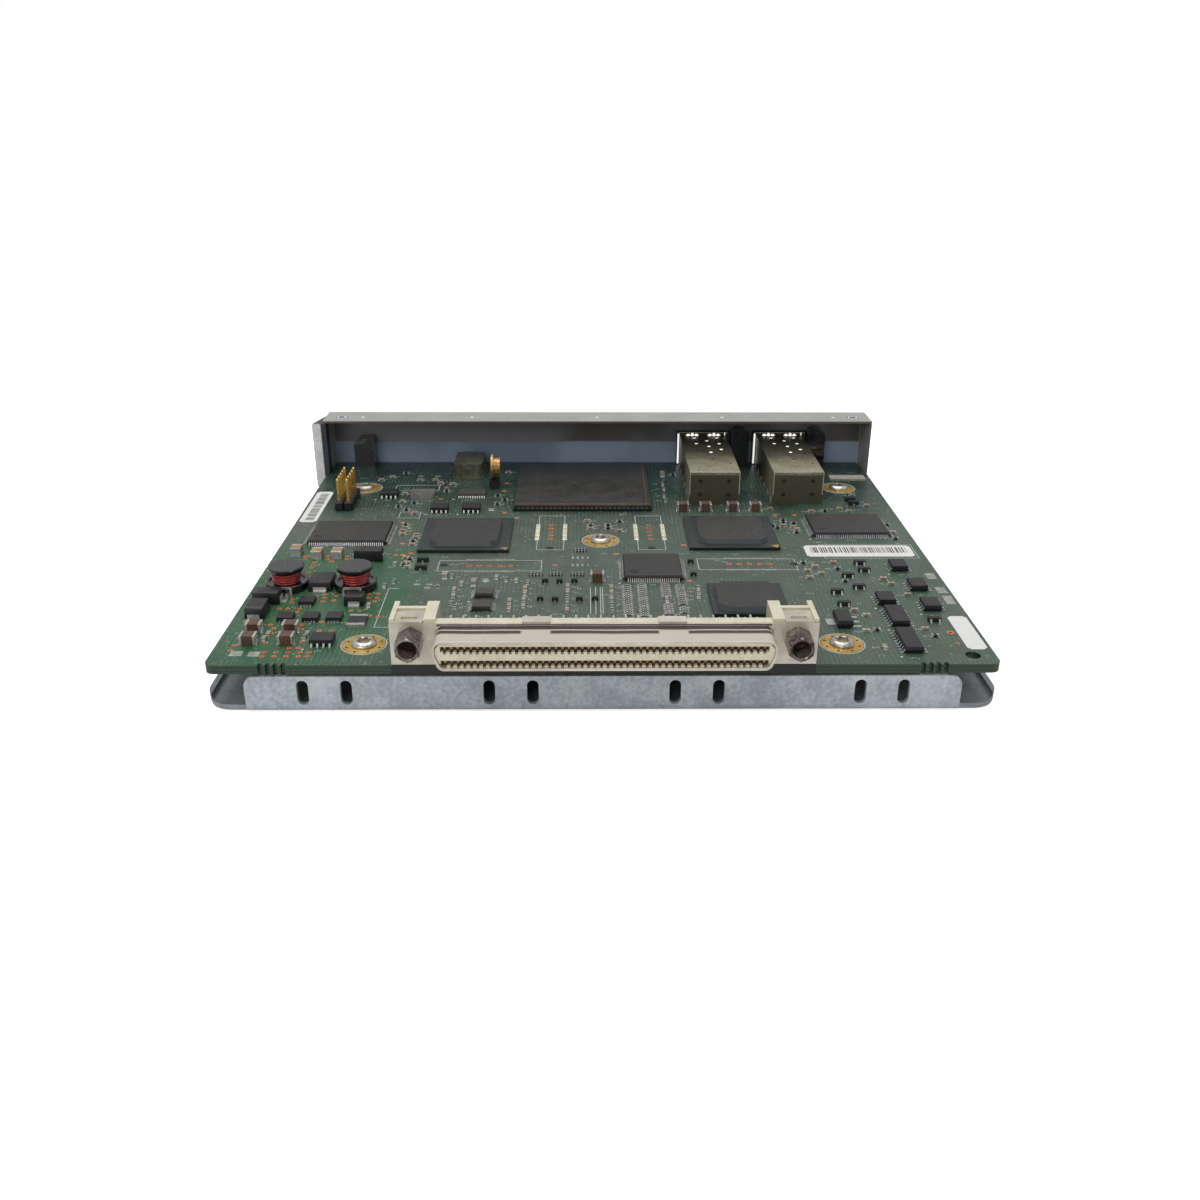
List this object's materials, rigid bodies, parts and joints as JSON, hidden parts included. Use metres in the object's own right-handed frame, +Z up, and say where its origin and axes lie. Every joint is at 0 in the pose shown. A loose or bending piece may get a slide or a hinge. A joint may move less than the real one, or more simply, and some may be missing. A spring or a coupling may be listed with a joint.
{
  "type": "port adapter card",
  "caption": "Network port adapter card: a circuit board on a folded tray, a folded faceplate with two module cages and a shielded two-slot rear connector.",
  "frame": {"origin": "on the tray's underside, below the middle of the board", "axes": "+X across the card to the right seen from the rear connector, +Y towards the faceplate, +Z up out of the board's component side"},
  "size_m": [0.1669, 0.1589, 0.0269],
  "materials": {
    "galvanised_sheet": "satin",
    "zinc_panel": "satin",
    "screw_steel": "satin",
    "spring_metal": "satin",
    "board_green": "satin",
    "cage_plate": "satin",
    "black_moulding": "matte",
    "grid_chip_black": "matte",
    "lamp_black": "satin",
    "lens_clear": "gloss",
    "nickel_shell": "satin",
    "ivory_moulding": "satin",
    "gold_contact": "satin",
    "tinned_lead": "satin",
    "laminate": "satin",
    "lid_metal": "satin",
    "gold_can": "satin",
    "grey_moulding": "satin",
    "ferrite": "matte",
    "winding": "satin",
    "resistor_black": "satin",
    "tan_ceramic": "satin",
    "brown_ceramic": "satin",
    "label_white": "matte",
    "foam_grey": "matte"
  },
  "bodies": {
    "root": {"carrier_tray": "galvanised_sheet", "faceplate": "zinc_panel", "board_screws": "screw_steel", "tray_standoffs": "screw_steel", "grounding_spring_strip": "spring_metal", "module_cage_fingers": "spring_metal", "circuit_board": "board_green", "module_cage_left": "cage_plate", "module_cage_right": "cage_plate", "module_cage_floors": "cage_plate", "pull_handle": "black_moulding", "module_host_sockets": "black_moulding", "upright_disc_socket": "black_moulding", "pin_header_base": "black_moulding", "quad_flat_packs": "black_moulding", "small_outline_packs": "black_moulding", "small_transistors": "black_moulding", "regulator_body": "black_moulding", "power_diodes": "black_moulding", "power_switches": "black_moulding", "tantalum_capacitors": "black_moulding", "grid_chip_moulds": "grid_chip_black", "port_lamp_housings": "lamp_black", "side_lamp_housing": "lamp_black", "lamp_lenses": "lens_clear", "rear_connector_shell": "nickel_shell", "guide_sockets": "nickel_shell", "rear_connector_housing": "ivory_moulding", "rear_connector_lower_contacts": "gold_contact", "rear_connector_upper_contacts": "gold_contact", "upright_disc": "gold_contact", "rear_connector_tails": "tinned_lead", "regulator_leads": "tinned_lead", "inductor_clips": "tinned_lead", "capacitor_end_caps": "tinned_lead", "pin_header_pins": "tinned_lead", "framer_chip_base": "laminate", "grid_chip_bases": "laminate", "framer_chip_lid": "lid_metal", "crystal": "lid_metal", "oscillator_can": "gold_can", "thin_packs": "grey_moulding", "inductor_cores": "ferrite", "inductor_bases": "ferrite", "inductor_windings": "winding", "sense_resistor": "resistor_black", "tan_capacitor_bodies": "tan_ceramic", "brown_capacitor_bodies": "brown_ceramic", "board_labels": "label_white", "gasket_strip": "foam_grey"}
  },
  "joints": []
}
